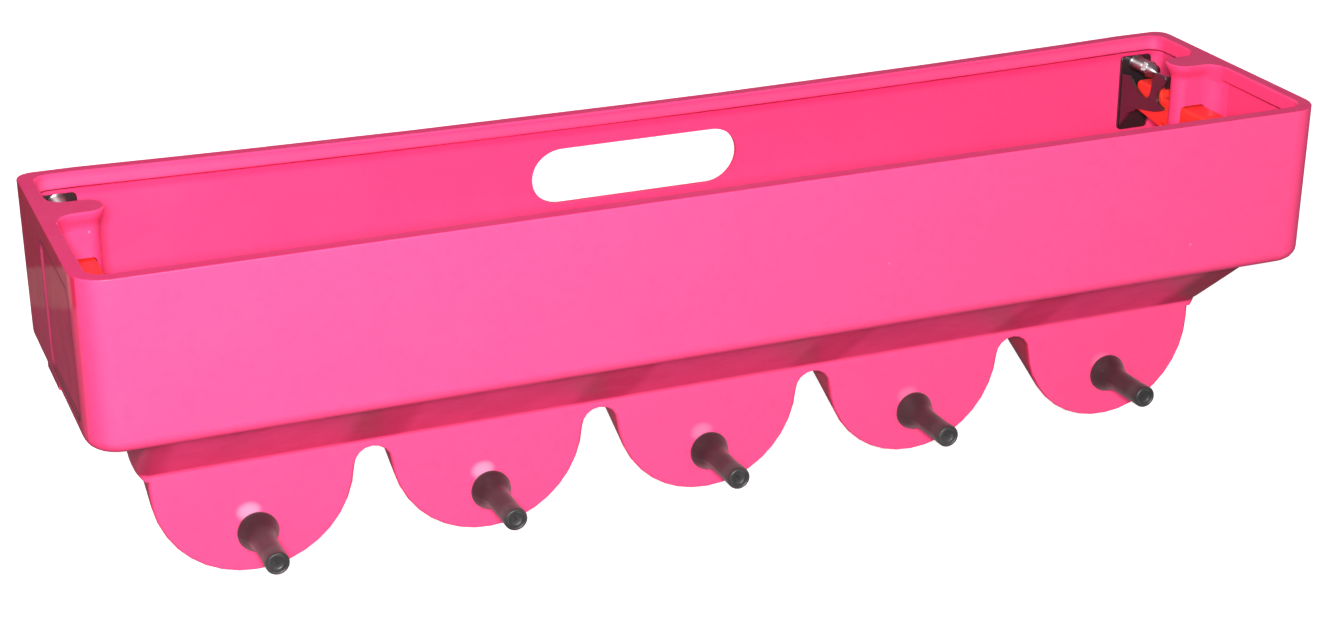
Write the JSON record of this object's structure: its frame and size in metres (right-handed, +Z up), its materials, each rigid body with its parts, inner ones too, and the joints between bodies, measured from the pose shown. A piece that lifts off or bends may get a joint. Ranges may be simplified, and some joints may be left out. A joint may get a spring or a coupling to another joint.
{
  "type": "multi-teat milk feeder",
  "caption": "Hang-on moulded trough with teats in half-round pockets, a hand slot in its back wall, and steel rail hooks locked by sliding grips.",
  "frame": {"origin": "middle of the back wall's flat outer face, 108 mm below the rim", "axes": "+X along the feeder, to the right seen from the teats; +Y from the teats to the rail behind; +Z up"},
  "size_m": [1, 0.2803, 0.2847],
  "materials": {
    "pink_polyethylene": "satin rotomoulded polyethylene",
    "black_rubber": "matt moulded rubber",
    "black_steel": "gloss black powder coat",
    "bright_chrome": "bright plated",
    "orange_red_plastic": "satin moulded plastic"
  },
  "bodies": {
    "feeder": {"trough": "pink_polyethylene", "teat_1": "black_rubber", "teat_2": "black_rubber", "teat_3": "black_rubber", "teat_4": "black_rubber", "teat_5": "black_rubber", "rail_hook_left": "black_steel", "guide_bracket_left": "black_steel", "washer_left": "bright_chrome", "spacer_sleeve_left": "bright_chrome", "dome_nut_left": "bright_chrome", "rail_hook_right": "black_steel", "guide_bracket_right": "black_steel", "washer_right": "bright_chrome", "spacer_sleeve_right": "bright_chrome", "dome_nut_right": "bright_chrome"},
    "latch_left": {"latch_grip_left": "orange_red_plastic", "latch_blade_left": "black_steel"},
    "latch_right": {"latch_grip_right": "orange_red_plastic", "latch_blade_right": "black_steel"}
  },
  "joints": [
    {"name": "latch_left_slide", "type": "slide", "parent": "feeder", "child": "latch_left", "axis": [0, 1, 0], "range_m": [-0.027, 0]},
    {"name": "latch_right_slide", "type": "slide", "parent": "feeder", "child": "latch_right", "axis": [0, 1, 0], "range_m": [-0.027, 0]}
  ]
}
